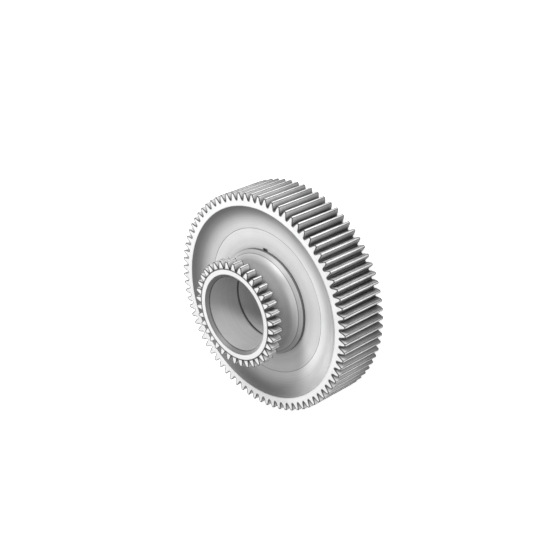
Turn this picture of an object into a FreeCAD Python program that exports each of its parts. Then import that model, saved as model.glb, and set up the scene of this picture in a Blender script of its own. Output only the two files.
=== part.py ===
import FreeCAD, Part
import Sketcher
import math
import os
import re

# Idler gear in two pieces bored together: a large spur wheel with a dished web, and a pinion
# whose flared hub seats on the wheel's web round a low spigot.
# Millimetres, +Z along the gear's axis towards the pinion, origin on the axis at the wheel's
# rear face. One tooth space of the wheel is centred on +X.

SIZES = {
    # Teeth, one system on both gears
    "gear_module": 2.5,
    "pressure_angle": 17.5,
    "addendum": 3.75,
    "dedendum": 3.0,
    "root_bevel": 0.6,
    "wheel_teeth": 78,
    "wheel_tooth_width": 4.65,
    "pinion_teeth": 36,
    "pinion_tooth_width": 4.85,
    "pinion_space_angle": 3.68,
    # Wheel
    "wheel_width": 48.5,
    "rim_wall": 5.25,
    "dish_depth": 7.3,
    "dish_curve_width": 12.05,
    "dish_cone_width": 9.9,
    "dish_cone_angle": 10.0,
    "rear_boss_wall": 15.5,
    # Bore, its mouths and the spigot joint
    "hub_wall": 8.5,
    "mouth_width": 3.2,
    "mouth_depth": 3.0,
    "spigot_wall": 7.5,
    "spigot_height": 1.05,
    "spigot_clearance": 0.03,
    "joint_gap": 0.15,
    "relief_length": 3.6,
    "relief_width": 0.7,
    # Pinion
    "pinion_reach": 31.0,
    "pinion_face": 10.5,
    "flange_reach": 7.0,
    "flange_wall": 2.25,
    "flange_chamfer_width": 3.0,
    "flange_chamfer_height": 2.6,
    "flare_radius": 11.0,
    # Locating notch in the web at the flange's edge
    "notch_angle": -22.0,
    "notch_width": 4.6,
    "notch_reach": 1.4,
    "notch_cover": 1.0,
    "notch_depth": 1.5,
}

# Levels and radii that several features share, as sums of the sizes
WEB_LEVEL = "(wheel_width - dish_depth)"
CONE_RISE = "(dish_cone_width * tan(dish_cone_angle * 1 deg))"
WHEEL_TIP = "(gear_module * wheel_teeth / 2 + addendum)"
RIM_EDGE = "(gear_module * wheel_teeth / 2 - dedendum - rim_wall)"
CONE_EDGE = f"({RIM_EDGE} - dish_curve_width)"
WEB_EDGE = f"({CONE_EDGE} - dish_cone_width)"
PINION_TIP = "(gear_module * pinion_teeth / 2 + addendum)"
PINION_ROOT = "(gear_module * pinion_teeth / 2 - dedendum)"
BORE_EDGE = f"({PINION_ROOT} - hub_wall)"
SPIGOT_EDGE = f"({BORE_EDGE} + spigot_wall)"
FLANGE_EDGE = f"({PINION_ROOT} + flange_reach)"
PINION_TOP = "(wheel_width + pinion_reach)"
SEAT_TOP = f"({WEB_LEVEL} + spigot_height + joint_gap)"
FLANGE_TOP = f"({WEB_LEVEL} + flange_wall + flange_chamfer_height)"
FLARE_REACH = "(flange_reach - flange_chamfer_width)"
FLARE_TOP = f"({FLANGE_TOP} + sqrt({FLARE_REACH} * (2 * flare_radius - {FLARE_REACH})))"

doc = FreeCAD.newDocument("IdlerGear")


# The sheet

def make_sheet():
    sheet = doc.addObject("Spreadsheet::Sheet", "Sizes")
    for row, (name, number) in enumerate(SIZES.items(), start=1):
        sheet.set(f"A{row}", name)
        sheet.set(f"B{row}", str(number))
        sheet.setAlias(f"B{row}", name)
    doc.recompute()
    return sheet


sheet = make_sheet()


def bound(text):
    """A sum of sizes, written as an expression on the sheet."""
    return re.sub(r"[a-z_]+", lambda m: f"Sizes.{m[0]}" if m[0] in SIZES else m[0], text)


def worth(text):
    """The number that a sum of sizes comes to."""
    return float(sheet.evalExpression(bound(text)))


# Bodies and sketches

def make_body(label):
    body = doc.addObject("PartDesign::Body", label)
    body.Label = label
    return body


def origin_item(body, role):
    return next(item for item in body.Origin.OriginFeatures if item.Role == role)


def make_sketch(body, name, role, level=None, turn=None):
    """A sketch on one of the body's own planes, lifted and turned as the sheet says."""
    sketch = body.newObject("Sketcher::SketchObject", name)
    sketch.AttachmentSupport = [(origin_item(body, role), "")]
    sketch.MapMode = "FlatFace"
    if level:
        sketch.setExpression("AttachmentOffset.Base.z", bound(level))
    if turn:
        sketch.AttachmentOffset = FreeCAD.Placement(
            FreeCAD.Vector(), FreeCAD.Rotation(FreeCAD.Vector(0, 0, 1), 1))
        sketch.setExpression("AttachmentOffset.Rotation.Angle", bound(f"{turn} * 1 deg"))
    return sketch


def polar(radius, angle):
    return FreeCAD.Vector(radius * math.cos(angle), radius * math.sin(angle), 0)


def arc_off(start, before, last):
    """An exact arc that runs on smoothly from the line before-start and ends on last, held as
    a spline of the second degree."""
    tangent = (start - before).normalize()
    chord = last - start
    half = tangent.getAngle(chord)
    corner = start + tangent * (chord.Length / (2 * math.cos(half)))
    curve = Part.BSplineCurve()
    curve.buildFromPolesMultsKnots([start, corner, last], [3, 3], [0, 1], False, 2,
                                   [1, math.cos(half), 1])
    return curve


def hold(sketch, edge, end, kind, text, name):
    """Holds one end of an edge at a distance from the sketch's origin, on the sheet."""
    number = worth(text)
    if abs(number) < 1e-9:
        sketch.addConstraint(Sketcher.Constraint("PointOnObject", edge, end, -1))
        return
    index = sketch.addConstraint(Sketcher.Constraint(kind, -1, 1, edge, end, number))
    sketch.renameConstraint(index, name)
    sketch.setExpression(f"Constraints.{name}", bound(text))


def draw_section(body, name, corners, curves=()):
    """Half of a turned section in the XZ plane, from the radius and level of each corner. A
    curved edge is given by its number, and runs smoothly off the straight edge that follows
    it."""
    sketch = make_sketch(body, name, "XZ_Plane")
    points = [FreeCAD.Vector(worth(r), worth(z), 0) for r, z in corners]
    count = len(points)
    for i in range(count):
        first, last = points[i], points[(i + 1) % count]
        if i in curves:
            edge = arc_off(last, points[(i + 2) % count], first)
            edge.reverse()
        else:
            edge = Part.LineSegment(first, last)
        sketch.addGeometry(edge, False)
    for i in range(count):
        sketch.addConstraint(Sketcher.Constraint("Coincident", (i - 1) % count, 2, i, 1))
    for i, (r, z) in enumerate(corners):
        hold(sketch, i, 1, "DistanceX", r, f"radius_{i}")
        hold(sketch, i, 1, "DistanceY", z, f"level_{i}")
    return sketch


def turn_section(body, name, sketch):
    feature = body.newObject("PartDesign::Revolution", name)
    feature.Profile = sketch
    feature.ReferenceAxis = (sketch, ["V_Axis"])
    feature.Angle = 360
    doc.recompute()
    return feature


def cut_pocket(body, name, sketch, depth):
    """Cuts the sketch down from its plane, and checks that metal has gone."""
    before = body.Shape.Volume
    pocket = body.newObject("PartDesign::Pocket", name)
    pocket.Profile = sketch
    pocket.setExpression("Length", bound(depth))
    doc.recompute()
    if pocket.Shape.Volume > before - 0.5:
        raise RuntimeError(f"{name} cuts nothing")
    return pocket


# Involute tooth spaces

def involute_angle(roll):
    """How far round the base circle an involute has come, at this angle of roll."""
    return roll - math.atan(roll)


def tooth_space(teeth, tooth_width):
    """The outline of one tooth space centred on +X, from the root out past the tips: a flat
    floor, a bevel up each side of it, and involute flanks, which run on radially inside the
    base circle. Each flank is the arc through three points of its involute, which keeps
    within 0.05 of it, and the bevel spans the round that the cutter's corner would leave."""
    pitch_radius = worth(f"gear_module * {teeth}") / 2
    pressure = math.radians(worth("pressure_angle"))
    base = pitch_radius * math.cos(pressure)
    root = pitch_radius - worth("dedendum")
    outside = pitch_radius + worth("addendum + gear_module / 4")
    rounding = worth("root_bevel")
    half_space = math.pi / worth(teeth) - worth(tooth_width) / (2 * pitch_radius)
    start = half_space - involute_angle(math.tan(pressure))

    # The centre of that round lies on the flank's own parallel curve, a turned involute
    centre_radius = root + rounding
    centre_roll = math.sqrt(max((centre_radius / base) ** 2 - 1, 0))
    first_roll = centre_roll - rounding / base
    if first_roll > 0:
        centre_angle = start - rounding / base + involute_angle(centre_roll)
    else:
        first_roll = 0.0
        centre_angle = start - math.asin(rounding / centre_radius)
    if centre_angle <= 0:
        raise RuntimeError("root_bevel is too large for the tooth space")
    floor_end = polar(root, centre_angle)

    last_roll = math.sqrt((outside / base) ** 2 - 1)
    middle_roll = math.sqrt((first_roll ** 2 + last_roll ** 2) / 2)
    flank = [polar(base * math.hypot(1, roll), start + involute_angle(roll))
             for roll in (first_roll, middle_roll, last_roll)]
    if first_roll > 0:
        bevel_end = flank[0]
    else:
        bevel_end = polar(centre_radius * math.cos(start - centre_angle), start)

    def other(point):
        return FreeCAD.Vector(point.x, -point.y, 0)

    edges = [Part.LineSegment(other(floor_end), floor_end),
             Part.LineSegment(flank[-1], other(flank[-1]))]
    for side in (lambda point: point, other):
        edges.append(Part.LineSegment(side(floor_end), side(bevel_end)))
        if (flank[0] - bevel_end).Length > 1e-6:
            edges.append(Part.LineSegment(side(bevel_end), side(flank[0])))
        edges.append(Part.Arc(*[side(point) for point in flank]))
    return edges


def cut_teeth(body, prefix, teeth, tooth_width, level, depth, turn=None):
    """One tooth space cut down from a level, then repeated round the axis."""
    sketch = make_sketch(body, f"{prefix}_space", "XY_Plane", level, turn)
    for edge in tooth_space(teeth, tooth_width):
        index = sketch.addGeometry(edge, False)
        sketch.addConstraint(Sketcher.Constraint("Block", index))
    pocket = cut_pocket(body, f"{prefix}_space_cut", sketch, depth)
    one_space = body.Shape.Volume
    pattern = body.newObject("PartDesign::PolarPattern", f"{prefix}_spaces")
    pattern.Originals = [pocket]
    pattern.Axis = (origin_item(body, "Z_Axis"), [""])
    pattern.Angle = 360
    pattern.setExpression("Occurrences", bound(teeth))
    body.Tip = pattern
    doc.recompute()
    if body.Shape.Volume > one_space - 1:
        raise RuntimeError(f"{prefix} spaces are not repeated")
    return pattern


# The wheel: rim, a web dished alike on both faces, rear boss and spigot

def make_wheel():
    body = make_body("gear_wheel")
    corners = [
        (f"{BORE_EDGE} + mouth_width", "0"),
        (f"{BORE_EDGE} + rear_boss_wall", "0"),
        (f"{BORE_EDGE} + rear_boss_wall", "dish_depth"),
        (WEB_EDGE, "dish_depth"),
        (RIM_EDGE, "0"),
        (WHEEL_TIP, "0"),
        (WHEEL_TIP, "wheel_width"),
        (RIM_EDGE, "wheel_width"),
        (CONE_EDGE, f"{WEB_LEVEL} + {CONE_RISE}"),
        (WEB_EDGE, WEB_LEVEL),
        (SPIGOT_EDGE, WEB_LEVEL),
        (SPIGOT_EDGE, f"{WEB_LEVEL} + spigot_height"),
        (BORE_EDGE, f"{WEB_LEVEL} + spigot_height"),
        (BORE_EDGE, "mouth_depth"),
    ]
    # The front dish curves up off its cone to the rim, and the rear one is turned straight
    turn_section(body, "wheel_blank", draw_section(body, "wheel_section", corners, [7]))
    cut_teeth(body, "wheel", "wheel_teeth", "wheel_tooth_width", "wheel_width", "wheel_width")

    notch = make_sketch(body, "notch_outline", "XY_Plane", WEB_LEVEL, "notch_angle")
    inner, outer = f"{FLANGE_EDGE} - notch_cover", f"{FLANGE_EDGE} + notch_reach"
    spots = [(inner, "-notch_width / 2"), (outer, "-notch_width / 2"),
             (outer, "notch_width / 2"), (inner, "notch_width / 2")]
    points = [FreeCAD.Vector(worth(x), worth(y), 0) for x, y in spots]
    for i in range(4):
        notch.addGeometry(Part.LineSegment(points[i], points[(i + 1) % 4]), False)
    for i in range(4):
        notch.addConstraint(Sketcher.Constraint("Coincident", (i - 1) % 4, 2, i, 1))
        hold(notch, i, 1, "DistanceX", spots[i][0], f"out_{i}")
        hold(notch, i, 1, "DistanceY", spots[i][1], f"side_{i}")
    cut_pocket(body, "notch", notch, "notch_depth")
    return body


# The pinion: teeth, hub cylinder at their root, flare and flange, counterbored for the spigot

def make_pinion():
    body = make_body("pinion")
    corners = [
        (f"{BORE_EDGE} + mouth_width", PINION_TOP),
        (BORE_EDGE, f"{PINION_TOP} - mouth_depth"),
        (BORE_EDGE, f"{SEAT_TOP} + relief_length"),
        (f"{BORE_EDGE} + relief_width", SEAT_TOP),
        (f"{SPIGOT_EDGE} + spigot_clearance", SEAT_TOP),
        (f"{SPIGOT_EDGE} + spigot_clearance", WEB_LEVEL),
        (FLANGE_EDGE, WEB_LEVEL),
        (FLANGE_EDGE, f"{WEB_LEVEL} + flange_wall"),
        (f"{FLANGE_EDGE} - flange_chamfer_width", FLANGE_TOP),
        (PINION_ROOT, FLARE_TOP),
        (PINION_ROOT, f"{PINION_TOP} - pinion_face"),
        (PINION_TIP, f"{PINION_TOP} - pinion_face"),
        (PINION_TIP, PINION_TOP),
    ]
    # The flare leaves the hub smoothly and meets the flange's chamfer at an edge
    turn_section(body, "pinion_blank", draw_section(body, "pinion_section", corners, [8]))
    cut_teeth(body, "pinion", "pinion_teeth", "pinion_tooth_width", PINION_TOP, "pinion_face",
              "pinion_space_angle")
    return body


def check_document():
    for item in doc.Objects:
        if {"Invalid", "Error"} & set(item.State):
            raise RuntimeError(f"{item.Name} failed: {item.State}")


def write_part(body):
    shape = body.Shape
    if shape.isNull() or not shape.isValid() or len(shape.Solids) != 1:
        raise RuntimeError(f"{body.Label} is not one valid solid")
    shape.exportStep(f"parts/{body.Label}.step")
    box = shape.optimalBoundingBox(False)
    print(f"{body.Label}: volume {shape.Volume / 1000:.2f} cm3, faces {len(shape.Faces)}, "
          f"z {box.ZMin:.3f} to {box.ZMax:.3f}, across {box.XLength:.2f} x {box.YLength:.2f}")


os.makedirs("parts", exist_ok=True)
pieces = [make_wheel(), make_pinion()]
doc.recompute()
check_document()
for piece in pieces:
    write_part(piece)
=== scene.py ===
import math

import bpy
from mathutils import Matrix, Vector

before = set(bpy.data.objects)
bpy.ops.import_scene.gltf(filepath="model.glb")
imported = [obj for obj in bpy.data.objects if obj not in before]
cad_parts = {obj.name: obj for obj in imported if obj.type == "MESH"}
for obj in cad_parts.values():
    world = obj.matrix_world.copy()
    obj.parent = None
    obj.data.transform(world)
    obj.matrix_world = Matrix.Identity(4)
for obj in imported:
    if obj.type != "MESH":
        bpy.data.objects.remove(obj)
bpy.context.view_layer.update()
scene = bpy.context.scene


# Node helpers

class Tree:
    """The node tree of a material or world, with short calls for adding and linking nodes."""

    def __init__(self, owner):
        self.nodes = owner.node_tree.nodes
        self.links = owner.node_tree.links
        self.nodes.clear()

    def add(self, kind, inputs=None, **settings):
        node = self.nodes.new(kind)
        for key, value in settings.items():
            setattr(node, key, value)
        for key, value in (inputs or {}).items():
            if isinstance(value, bpy.types.NodeSocket):
                self.links.new(value, node.inputs[key])
            else:
                node.inputs[key].default_value = value
        return node

    def math(self, operation, first, second=0.0):
        node = self.add("ShaderNodeMath", {0: first, 1: second}, operation=operation)
        return node.outputs[0]

    def times(self, *factors):
        product = factors[0]
        for factor in factors[1:]:
            product = self.math("MULTIPLY", product, factor)
        return product

    def span(self, value, low, high, first, last):
        """first up to low, last from high on, and a smooth change between them."""
        node = self.add("ShaderNodeMapRange", {"Value": value, "From Min": low, "From Max": high,
                                               "To Min": first, "To Max": last})
        node.interpolation_type = "SMOOTHSTEP"
        return node.outputs[0]

    def watched(self):
        """1 for the rays of the camera, of reflections and of see-through surfaces."""
        path = self.add("ShaderNodeLightPath")
        return self.math("MAXIMUM", path.outputs["Is Camera Ray"],
                         self.math("MAXIMUM", path.outputs["Is Glossy Ray"],
                                   path.outputs["Is Transmission Ray"]))

    def above(self, value, level):
        return self.math("GREATER_THAN", value, level)

    def between(self, value, low, high):
        return self.times(self.above(value, low), self.above(high, value))

    def opposite(self, share):
        return self.math("SUBTRACT", 1.0, share)

    def mix(self, first, second, share):
        node = self.add("ShaderNodeMix", {"Factor": share, "A": first, "B": second},
                        data_type="FLOAT")
        return node.outputs["Result"]

    def line(self, value, level, half_width, tone):
        """tone where value is at level, and 1 from half_width away from it."""
        away = self.math("ABSOLUTE", self.math("SUBTRACT", value, level))
        return self.span(away, half_width * 0.3, half_width, tone, 1.0)

    def noise(self, place, scale, detail, roughness):
        node = self.add("ShaderNodeTexNoise", {"Vector": place, "Scale": scale,
                                               "Detail": detail, "Roughness": roughness})
        return node.outputs["Fac"]


# Steel finish and painted shade. Tones are shares of the steel's colour, and most of them are
# painted shade that darkens the dish, the hub, the bore, the tooth roots, recesses and edges.
# Radii and levels are in millimetres, with levels measured up from the rear face.

STEEL = (0.84, 0.84, 0.84)
METAL_SHARE = 0.12
GROUND = 1.0
LINE_TONE = 0.35

# Wheel: a flat web, the dish round it and the ground rim
WHEEL_ROOT, WHEEL_TIP, WHEEL_TEETH = 94.5, 101.25, -1.0
WEB_EDGE, DISH_EDGE, RIM_INSIDE = 67.0, 88.0, 89.2
# Painted shade: the web a little darker than the rim, and the dish darker up to the rim
WEB_PAINTED_SHADE, DISH_PAINTED_SHADE = 0.86, 0.205
WEB_LINE, WEB_LINE_WIDTH = 67.3, 0.4

# Small gear: flange wall, its chamfer, the flare and the neck, from the web upwards
PINION_ROOT, PINION_TIP, PINION_TEETH = 42.0, 48.75, 68.9
WALL_TOP, CHAMFER_FOOT, CHAMFER_TOP = 43.5, 43.8, 46.2
# Painted shade on the flange wall and, lighter, on its chamfer
WALL_PAINTED_SHADE, CHAMFER_PAINTED_SHADE = 0.26, 0.50
CHAMFER_LINE_WIDTH = 0.3
FLARE_FOOT, FLARE_TOP, NECK_TOP = 46.0, 56.0, 69.0
# Painted shade on the flare, darkening up to the neck under the teeth
FLARE_FOOT_PAINTED_SHADE, FLARE_TOP_PAINTED_SHADE, NECK_PAINTED_SHADE = 0.58, 0.37, 0.7
RING_LINE, RING_LINE_WIDTH, RING_LINE_TONE = 41.8, 0.9, 0.03
RING_LEVEL = 79.3

# Teeth
TOOTH_INSET = 0.1
ROOT_START, FLANK_START = -1.0, 4.0
# The root tone is painted shade in the tooth spaces, fading out up the flanks
ROOT_PAINTED_SHADE, FLANK_TONE, LAND_TONE = 0.18, 0.9, 0.95
LAND_DEPTH = 0.03

# End faces and bore
REAR_FACES, FRONT_FACES = 1.0, 79.0
BORE_REACH = 36.6
# Painted shade in the bore, darker in its mouths and in the relief
BORE_PAINTED_SHADE, MOUTH_PAINTED_SHADE = 0.53, 0.18
MOUTH_START, MOUTH_END = 33.6, 34.0
MOUTH_LINE, MOUTH_LINE_WIDTH, MOUTH_LINE_TONE = 33.9, 0.4, 0.1
RELIEF_START, RELIEF_END, RELIEF_PAINTED_SHADE = 33.85, 34.15, 0.06
BORE_MIDDLE = (20.0, 70.0)

# Painted shade along edges and in recesses, in metres
RECESS_REACH = 0.03
EDGE_RADIUS = 0.0002
LINE_WIDTH = 0.0021
EDGE_PAINTED_SHADE = 0.05
EDGE_SPAN, FLAT_EDGE_SPAN = (0.88, 0.998), (0.93, 1.0)  # agreement of the normals

# Marks of the cut: noise scales, and how far they move the tone and the roughness
FLAT_NORMAL = 0.995
FINE_RINGS, BROAD_RINGS, BLOTCHES = 2.6, 0.55, 45.0
STROKES = (1800.0, 1800.0, 45.0)
BLOTCH_TONES, RING_SHIFT, LAY_SHIFT = (0.96, 1.02), 0.025, 0.045
ROUGHNESS, ROUGHNESS_SHIFT = (0.43, 0.51), 0.06
BUMP_STRENGTH, BUMP_DEPTH = 0.35, 0.00008


def wheel_painted_shade(tree, radius, height):
    """Painted shade on the wheel: the turned web a little darker than the rim, a fine line round
    it where the dish starts, and the dish darker up to the rim."""
    dish = tree.times(tree.span(radius, WEB_EDGE, DISH_EDGE, WEB_PAINTED_SHADE, DISH_PAINTED_SHADE),
                      tree.line(radius, WEB_LINE, WEB_LINE_WIDTH, LINE_TONE))
    return tree.mix(dish, GROUND, tree.above(radius, RIM_INSIDE))


def pinion_painted_shade(tree, radius, height):
    """Painted shade on the small gear: a dark flange wall, its lighter chamfer with a fine line
    at the top, and the flare, which darkens up to the neck under the teeth."""
    neck = tree.times(tree.span(height, FLARE_FOOT, FLARE_TOP, FLARE_FOOT_PAINTED_SHADE, FLARE_TOP_PAINTED_SHADE),
                      tree.span(height, FLARE_TOP, NECK_TOP, 1.0, NECK_PAINTED_SHADE))
    flange = tree.span(height, WALL_TOP, CHAMFER_FOOT, WALL_PAINTED_SHADE, CHAMFER_PAINTED_SHADE)
    return tree.times(tree.mix(flange, neck, tree.above(height, CHAMFER_TOP)),
                      tree.line(height, CHAMFER_TOP, CHAMFER_LINE_WIDTH, LINE_TONE))


def no_line(tree, radius, height):
    return 1.0


def ring_line(tree, radius, height):
    """The fine line on the small gear's front face between its ring and its teeth."""
    line = tree.line(radius, RING_LINE, RING_LINE_WIDTH, RING_LINE_TONE)
    return tree.mix(1.0, line, tree.above(height, RING_LEVEL))


def painted_bore_shade(tree, radius, height):
    """Painted shade in the bore: a darker wall, its dark chamfered mouths with a line where they
    start, and the relief at the joint between the two pieces, which darkens towards its wide
    end."""
    mouth = tree.times(tree.span(radius, MOUTH_START, MOUTH_END, BORE_PAINTED_SHADE, MOUTH_PAINTED_SHADE),
                       tree.line(radius, MOUTH_LINE, MOUTH_LINE_WIDTH, MOUTH_LINE_TONE))
    relief = tree.span(radius, RELIEF_START, RELIEF_END, BORE_PAINTED_SHADE, RELIEF_PAINTED_SHADE)
    return tree.mix(mouth, relief, tree.between(height, *BORE_MIDDLE))


def painted_edge_shade(tree, true_normal, flat):
    """Painted shade along sharp edges, where the normals of the two faces blend, and more on
    faces square to the axis."""
    blended = tree.add("ShaderNodeBevel", {"Radius": LINE_WIDTH}, samples=16).outputs[0]
    level = tree.add("ShaderNodeVectorMath", {0: blended, 1: true_normal},
                     operation="DOT_PRODUCT").outputs["Value"]
    return tree.mix(tree.span(level, *EDGE_SPAN, EDGE_PAINTED_SHADE, 1.0),
                    tree.span(level, *FLAT_EDGE_SPAN, EDGE_PAINTED_SHADE, 1.0), flat)


def new_material(name):
    material = bpy.data.materials.new(name)
    material.use_nodes = True
    return material


def steel_with_painted_shade(name, painted_body_shade, face_line, root, tip, foot):
    """Machined steel with painted shade. Turned faces carry fine rings round the axis, the bore
    and the tooth tips fine rings along it, and the tooth flanks strokes along the tooth. The
    colour also carries painted shade in recesses, in the tooth roots and along sharp edges, and
    the painted shade of each region from the body function passed in. root and tip are the
    teeth's radii and foot the level they start from."""
    material = new_material(name)
    tree = Tree(material)
    true_normal = tree.add("ShaderNodeNewGeometry").outputs["True Normal"]
    normal = tree.add("ShaderNodeSeparateXYZ", {0: true_normal})
    place = tree.add("ShaderNodeTexCoord").outputs["Object"]
    axes = tree.add("ShaderNodeSeparateXYZ", {0: place})
    square = tree.math("ADD", tree.math("POWER", axes.outputs[0], 2.0),
                       tree.math("POWER", axes.outputs[1], 2.0))
    radius = tree.times(tree.math("SQRT", square), 1000.0)
    height = tree.times(axes.outputs[2], 1000.0)
    flat = tree.above(tree.math("ABSOLUTE", normal.outputs[2]), FLAT_NORMAL)
    sloped = tree.opposite(flat)
    in_teeth = tree.times(tree.above(radius, root - TOOTH_INSET), tree.above(height, foot))

    # Turning rings: noise that varies along the section and hardly round it
    rings = tree.add("ShaderNodeCombineXYZ", {0: radius, 1: height}).outputs[0]
    fine_rings = tree.noise(rings, FINE_RINGS, 2.0, 0.6)
    broad_rings = tree.noise(rings, BROAD_RINGS, 1.0, 0.5)
    # Grinding strokes on the flanks: noise drawn out along the tooth
    strokes = tree.add("ShaderNodeMapping", {0: place, "Scale": STROKES}).outputs[0]
    lay = tree.mix(fine_rings, tree.noise(strokes, 1.0, 2.0, 0.5), tree.times(in_teeth, sloped))
    blotch = tree.noise(place, BLOTCHES, 4.0, 0.55)

    # Tone: ground faces bright, with painted shade in recesses, tooth roots, the dish, the hub
    # and the bore
    flanks = tree.span(radius, root + ROOT_START, root + FLANK_START, ROOT_PAINTED_SHADE, FLANK_TONE)
    teeth = tree.mix(tree.mix(flanks, GROUND, flat), LAND_TONE,
                     tree.above(radius, tip - LAND_DEPTH))
    surface = tree.mix(painted_body_shade(tree, radius, height), teeth, in_teeth)
    end_face = tree.times(flat, tree.opposite(tree.between(height, REAR_FACES, FRONT_FACES)))
    surface = tree.mix(surface, GROUND, end_face)
    in_bore = tree.times(tree.above(BORE_REACH, radius), sloped)
    surface = tree.mix(surface, painted_bore_shade(tree, radius, height), in_bore)
    # Painted shade in recesses, from ambient occlusion
    painted_recess_shade = tree.add("ShaderNodeAmbientOcclusion", {"Distance": RECESS_REACH}, samples=8)
    marks = tree.math("ADD", tree.span(broad_rings, 0.3, 0.7, -RING_SHIFT, RING_SHIFT),
                      tree.span(lay, 0.35, 0.65, -LAY_SHIFT, LAY_SHIFT))
    variation = tree.math("ADD", tree.span(blotch, 0.3, 0.7, *BLOTCH_TONES), marks)
    tone = tree.times(surface, face_line(tree, radius, height), painted_recess_shade.outputs["AO"],
                      painted_edge_shade(tree, true_normal, flat), variation)
    shade = tree.add("ShaderNodeVectorMath", {0: STEEL, "Scale": tone}, operation="SCALE")

    rough = tree.math("ADD", tree.span(blotch, 0.3, 0.7, *ROUGHNESS),
                      tree.span(lay, 0.3, 0.7, -ROUGHNESS_SHIFT, ROUGHNESS_SHIFT))
    rounded = tree.add("ShaderNodeBevel", {"Radius": EDGE_RADIUS}, samples=4)
    bump = tree.add("ShaderNodeBump", {"Strength": BUMP_STRENGTH, "Distance": BUMP_DEPTH,
                                       "Height": lay, "Normal": rounded.outputs[0]})
    shader = tree.add("ShaderNodeBsdfPrincipled", {
        "Base Color": shade.outputs[0], "Metallic": METAL_SHARE, "Roughness": rough,
        "Normal": bump.outputs[0]})
    tree.add("ShaderNodeOutputMaterial", {"Surface": shader.outputs[0]})
    return material


# Each material is machined steel with painted shade
STEEL_AND_PAINTED_SHADE = {
    "gear_wheel": steel_with_painted_shade("wheel_steel_painted_shade", wheel_painted_shade, no_line,
                                 WHEEL_ROOT, WHEEL_TIP, WHEEL_TEETH),
    "pinion": steel_with_painted_shade("pinion_steel_painted_shade", pinion_painted_shade, ring_line,
                             PINION_ROOT, PINION_TIP, PINION_TEETH),
}
for node, finish in STEEL_AND_PAINTED_SHADE.items():
    for slot in bpy.data.objects[node].material_slots:
        slot.material = finish


# Floor

FLOOR_HALF = 4.0
FLOOR_DROP = 0.0005
FLOOR_COLOR = (0.8, 0.8, 0.8, 1.0)
WHITE = (1.0, 1.0, 1.0, 1.0)
NEAR_GLOW, FAR_GLOW = 0.72, 0.95
GLOW_START, GLOW_END = 0.4, 1.6


def white_floor(name):
    """A plain floor that takes the object's shadow. Where the camera or a reflection sees it,
    it glows enough to be white wherever light reaches it, and more where the lamps no longer
    reach."""
    material = new_material(name)
    tree = Tree(material)
    place = tree.add("ShaderNodeTexCoord").outputs["Object"]
    away = tree.add("ShaderNodeVectorMath", {0: place}, operation="LENGTH").outputs["Value"]
    glow = tree.span(away, GLOW_START, GLOW_END, NEAR_GLOW, FAR_GLOW)
    plain = tree.add("ShaderNodeBsdfDiffuse", {"Color": FLOOR_COLOR}).outputs[0]
    bright = tree.add("ShaderNodeEmission", {"Color": WHITE, "Strength": glow}).outputs[0]
    both = tree.add("ShaderNodeAddShader", {0: plain, 1: bright}).outputs[0]
    mixed = tree.add("ShaderNodeMixShader", {0: tree.watched(), 1: plain, 2: both})
    tree.add("ShaderNodeOutputMaterial", {"Surface": mixed.outputs[0]})
    return material


def make_floor():
    mesh = bpy.data.meshes.new("floor")
    corners = [(-FLOOR_HALF, -FLOOR_HALF, 0), (FLOOR_HALF, -FLOOR_HALF, 0),
               (FLOOR_HALF, FLOOR_HALF, 0), (-FLOOR_HALF, FLOOR_HALF, 0)]
    mesh.from_pydata(corners, [], [(0, 1, 2, 3)])
    mesh.materials.append(white_floor("floor_white"))
    floor = bpy.data.objects.new("floor", mesh)
    floor.location.z = -FLOOR_DROP
    scene.collection.objects.link(floor)


make_floor()


# Camera, fitted to the photograph: place in metres, and picture directions

EYE = Vector((0.19190, -0.76025, 0.67291))
RIGHT = Vector((-0.25899, -0.65685, -0.70815)).normalized()
UP = Vector((0.95240, -0.05160, -0.30045)).normalized()
PHOTO_SIDE = 533.0  # pixels
FOCAL_LENGTH = 1135.6444  # pixels
SHIFT = (-1.2, -2.0)  # pixels
SENSOR_WIDTH = 36.0  # millimetres


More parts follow.
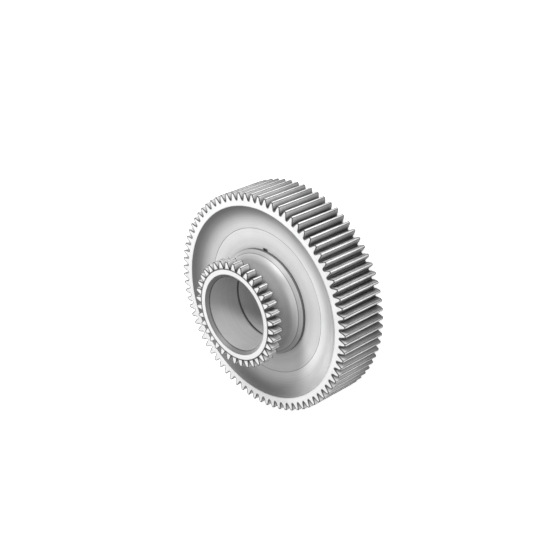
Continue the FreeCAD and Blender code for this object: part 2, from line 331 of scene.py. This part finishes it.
def make_camera():
    data = bpy.data.cameras.new("camera")
    data.sensor_width = SENSOR_WIDTH
    data.lens = SENSOR_WIDTH * FOCAL_LENGTH / PHOTO_SIDE
    data.clip_start, data.clip_end = 0.02, 50.0
    data.shift_x, data.shift_y = SHIFT[0] / PHOTO_SIDE, SHIFT[1] / PHOTO_SIDE
    camera = bpy.data.objects.new("camera", data)
    back = RIGHT.cross(UP).normalized()
    turn = Matrix((RIGHT, UP, back)).transposed()
    camera.matrix_world = Matrix.Translation(EYE) @ turn.to_4x4()
    scene.collection.objects.link(camera)
    scene.camera = camera


make_camera()


# Light

CENTRE = Vector((0.0, 0.0, 0.045))
LAMP_DISTANCE = 3.2
LAMPS = (  # azimuth and elevation in degrees, width in metres, power in watts, casts shadow
    ("key", 339.0, 35.0, 1.0, 112.0, True),
    ("side", 264.0, 24.0, 2.0, 41.0, True),
    ("low", 205.0, 16.0, 1.6, 1.6, True),
    ("left", 90.0, 5.0, 2.0, 82.0, False),
)
SKY_LEVEL = 0.12


def area_light(name, azimuth, elevation, width, power, shadow):
    data = bpy.data.lights.new(name, "AREA")
    data.shape = "DISK"
    data.size = width
    data.energy = power
    data.use_shadow = shadow
    turn, rise = math.radians(azimuth), math.radians(elevation)
    away = Vector((math.cos(turn) * math.cos(rise), math.sin(turn) * math.cos(rise),
                   math.sin(rise)))
    lamp = bpy.data.objects.new(name, data)
    lamp.location = CENTRE + LAMP_DISTANCE * away
    lamp.rotation_mode = "QUATERNION"
    lamp.rotation_quaternion = (-away).to_track_quat("-Z", "Y")
    scene.collection.objects.link(lamp)


for lamp_settings in LAMPS:
    area_light(*lamp_settings)


def make_world():
    """A weak white sky that the camera and reflections see as plain white."""
    world = bpy.data.worlds.new("studio")
    scene.world = world
    world.use_nodes = True
    tree = Tree(world)
    strength = tree.mix(SKY_LEVEL, 1.0, tree.watched())
    sky = tree.add("ShaderNodeBackground", {"Color": WHITE, "Strength": strength})
    tree.add("ShaderNodeOutputWorld", {"Surface": sky.outputs[0]})


make_world()

scene.view_settings.view_transform = "Standard"
